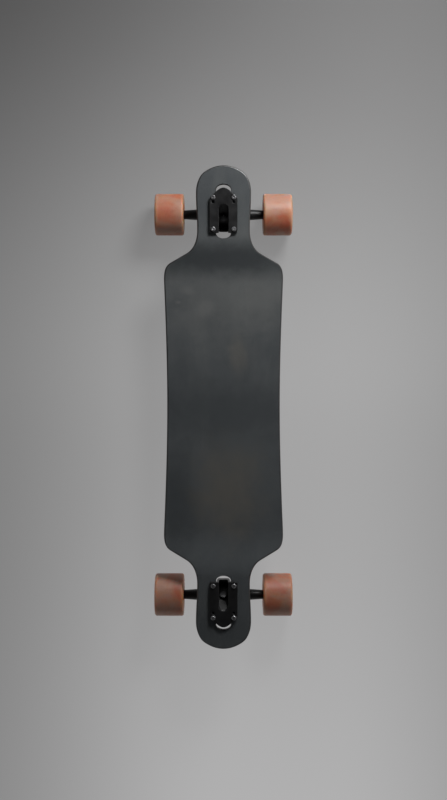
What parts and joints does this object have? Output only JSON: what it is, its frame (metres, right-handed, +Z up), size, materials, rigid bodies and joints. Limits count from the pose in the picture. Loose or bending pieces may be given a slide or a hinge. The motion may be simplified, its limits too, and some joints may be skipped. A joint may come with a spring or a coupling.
{
  "type": "skateboard",
  "caption": "Drop-through longboard with a lowered platform, cut-in necks, spring-centred steering trucks and free-turning translucent wheels on ball bearings.",
  "frame": {"origin": "on the ground under the middle of the board, with the wheels down", "axes": "+X along the board to the nose, +Y to the left of a rider who faces the nose, +Z up"},
  "size_m": [0.9684, 0.2804, 0.1185],
  "materials": {
    "deck_wood": "black-stained maple ply, satin",
    "grip_tape": "coarse grit, matt, worn in places",
    "cast_black": "satin black paint on cast aluminium",
    "cup_urethane": "matt",
    "steel": "zinc plated",
    "black_steel": "black oxide, oiled",
    "bolt_steel": "dull plated",
    "bushing_urethane": "cast urethane, satin",
    "bearing_steel": "ground and polished",
    "bearing_shield": "moulded, matt",
    "wheel_urethane": "translucent cast urethane, satin",
    "wheel_core": "moulded, satin"
  },
  "bodies": {
    "deck": {"deck": "deck_wood", "grip_tape": "grip_tape", "front_baseplate": "cast_black", "front_pivot_cup": "cup_urethane", "front_kingpin": "black_steel", "front_kingpin_nut": "steel", "front_boardside_bushing": "bushing_urethane", "front_roadside_bushing": "bushing_urethane", "front_boardside_washer": "steel", "front_roadside_washer": "steel", "front_mounting_bolts": "bolt_steel", "front_lock_nuts": "bolt_steel", "rear_baseplate": "cast_black", "rear_pivot_cup": "cup_urethane", "rear_kingpin": "black_steel", "rear_kingpin_nut": "steel", "rear_boardside_bushing": "bushing_urethane", "rear_roadside_bushing": "bushing_urethane", "rear_boardside_washer": "steel", "rear_roadside_washer": "steel", "rear_mounting_bolts": "bolt_steel", "rear_lock_nuts": "bolt_steel"},
    "front_hanger": {"front_hanger": "cast_black", "front_axle": "steel", "front_axle_nuts": "steel", "front_speed_washers": "steel", "front_bearing_spacers": "steel", "front_bearing_inner_rings": "bearing_steel"},
    "rear_hanger": {"rear_hanger": "cast_black", "rear_axle": "steel", "rear_axle_nuts": "steel", "rear_speed_washers": "steel", "rear_bearing_spacers": "steel", "rear_bearing_inner_rings": "bearing_steel"},
    "front_left_wheel": {"front_left_tyre": "wheel_urethane", "front_left_core": "wheel_core", "front_left_bearing_outer_rings": "bearing_steel", "front_left_bearing_shields": "bearing_shield"},
    "front_left_ball_set": {"front_left_bearing_balls": "bearing_steel", "front_left_bearing_cages": "bearing_steel"},
    "front_right_wheel": {"front_right_tyre": "wheel_urethane", "front_right_core": "wheel_core", "front_right_bearing_outer_rings": "bearing_steel", "front_right_bearing_shields": "bearing_shield"},
    "front_right_ball_set": {"front_right_bearing_balls": "bearing_steel", "front_right_bearing_cages": "bearing_steel"},
    "rear_left_wheel": {"rear_left_tyre": "wheel_urethane", "rear_left_core": "wheel_core", "rear_left_bearing_outer_rings": "bearing_steel", "rear_left_bearing_shields": "bearing_shield"},
    "rear_left_ball_set": {"rear_left_bearing_balls": "bearing_steel", "rear_left_bearing_cages": "bearing_steel"},
    "rear_right_wheel": {"rear_right_tyre": "wheel_urethane", "rear_right_core": "wheel_core", "rear_right_bearing_outer_rings": "bearing_steel", "rear_right_bearing_shields": "bearing_shield"},
    "rear_right_ball_set": {"rear_right_bearing_balls": "bearing_steel", "rear_right_bearing_cages": "bearing_steel"}
  },
  "joints": [
    {"name": "front_truck_steer", "type": "hinge", "parent": "deck", "child": "front_hanger", "pos_m": [0.3864, 0, 0.04636], "axis": [0.6428, 0, 0.766], "range_deg": [-18, 18], "stiffness_Nm_per_rad": 60, "deforming": ["front_boardside_bushing", "front_roadside_bushing"]},
    {"name": "rear_truck_steer", "type": "hinge", "parent": "deck", "child": "rear_hanger", "pos_m": [-0.3864, 0, 0.04636], "axis": [-0.6428, 0, 0.766], "range_deg": [-18, 18], "stiffness_Nm_per_rad": 60, "deforming": ["rear_boardside_bushing", "rear_roadside_bushing"]},
    {"name": "front_left_wheel_spin", "type": "hinge", "parent": "front_hanger", "child": "front_left_wheel", "pos_m": [0.391, 0.1107, 0.0425], "axis": [0, 1, 0], "continuous": true},
    {"name": "front_left_balls_orbit", "type": "hinge", "parent": "front_hanger", "child": "front_left_ball_set", "pos_m": [0.391, 0.1107, 0.0425], "axis": [0, 1, 0], "continuous": true},
    {"name": "front_right_wheel_spin", "type": "hinge", "parent": "front_hanger", "child": "front_right_wheel", "pos_m": [0.391, -0.1107, 0.0425], "axis": [0, 1, 0], "continuous": true},
    {"name": "front_right_balls_orbit", "type": "hinge", "parent": "front_hanger", "child": "front_right_ball_set", "pos_m": [0.391, -0.1107, 0.0425], "axis": [0, 1, 0], "continuous": true},
    {"name": "rear_left_wheel_spin", "type": "hinge", "parent": "rear_hanger", "child": "rear_left_wheel", "pos_m": [-0.391, 0.1107, 0.0425], "axis": [0, 1, 0], "continuous": true},
    {"name": "rear_left_balls_orbit", "type": "hinge", "parent": "rear_hanger", "child": "rear_left_ball_set", "pos_m": [-0.391, 0.1107, 0.0425], "axis": [0, 1, 0], "continuous": true},
    {"name": "rear_right_wheel_spin", "type": "hinge", "parent": "rear_hanger", "child": "rear_right_wheel", "pos_m": [-0.391, -0.1107, 0.0425], "axis": [0, 1, 0], "continuous": true},
    {"name": "rear_right_balls_orbit", "type": "hinge", "parent": "rear_hanger", "child": "rear_right_ball_set", "pos_m": [-0.391, -0.1107, 0.0425], "axis": [0, 1, 0], "continuous": true}
  ],
  "couplings": [
    {"joint": "front_left_balls_orbit", "follows": "front_left_wheel_spin", "ratio": 0.6226},
    {"joint": "front_right_balls_orbit", "follows": "front_right_wheel_spin", "ratio": 0.6226},
    {"joint": "rear_left_balls_orbit", "follows": "rear_left_wheel_spin", "ratio": 0.6226},
    {"joint": "rear_right_balls_orbit", "follows": "rear_right_wheel_spin", "ratio": 0.6226}
  ]
}
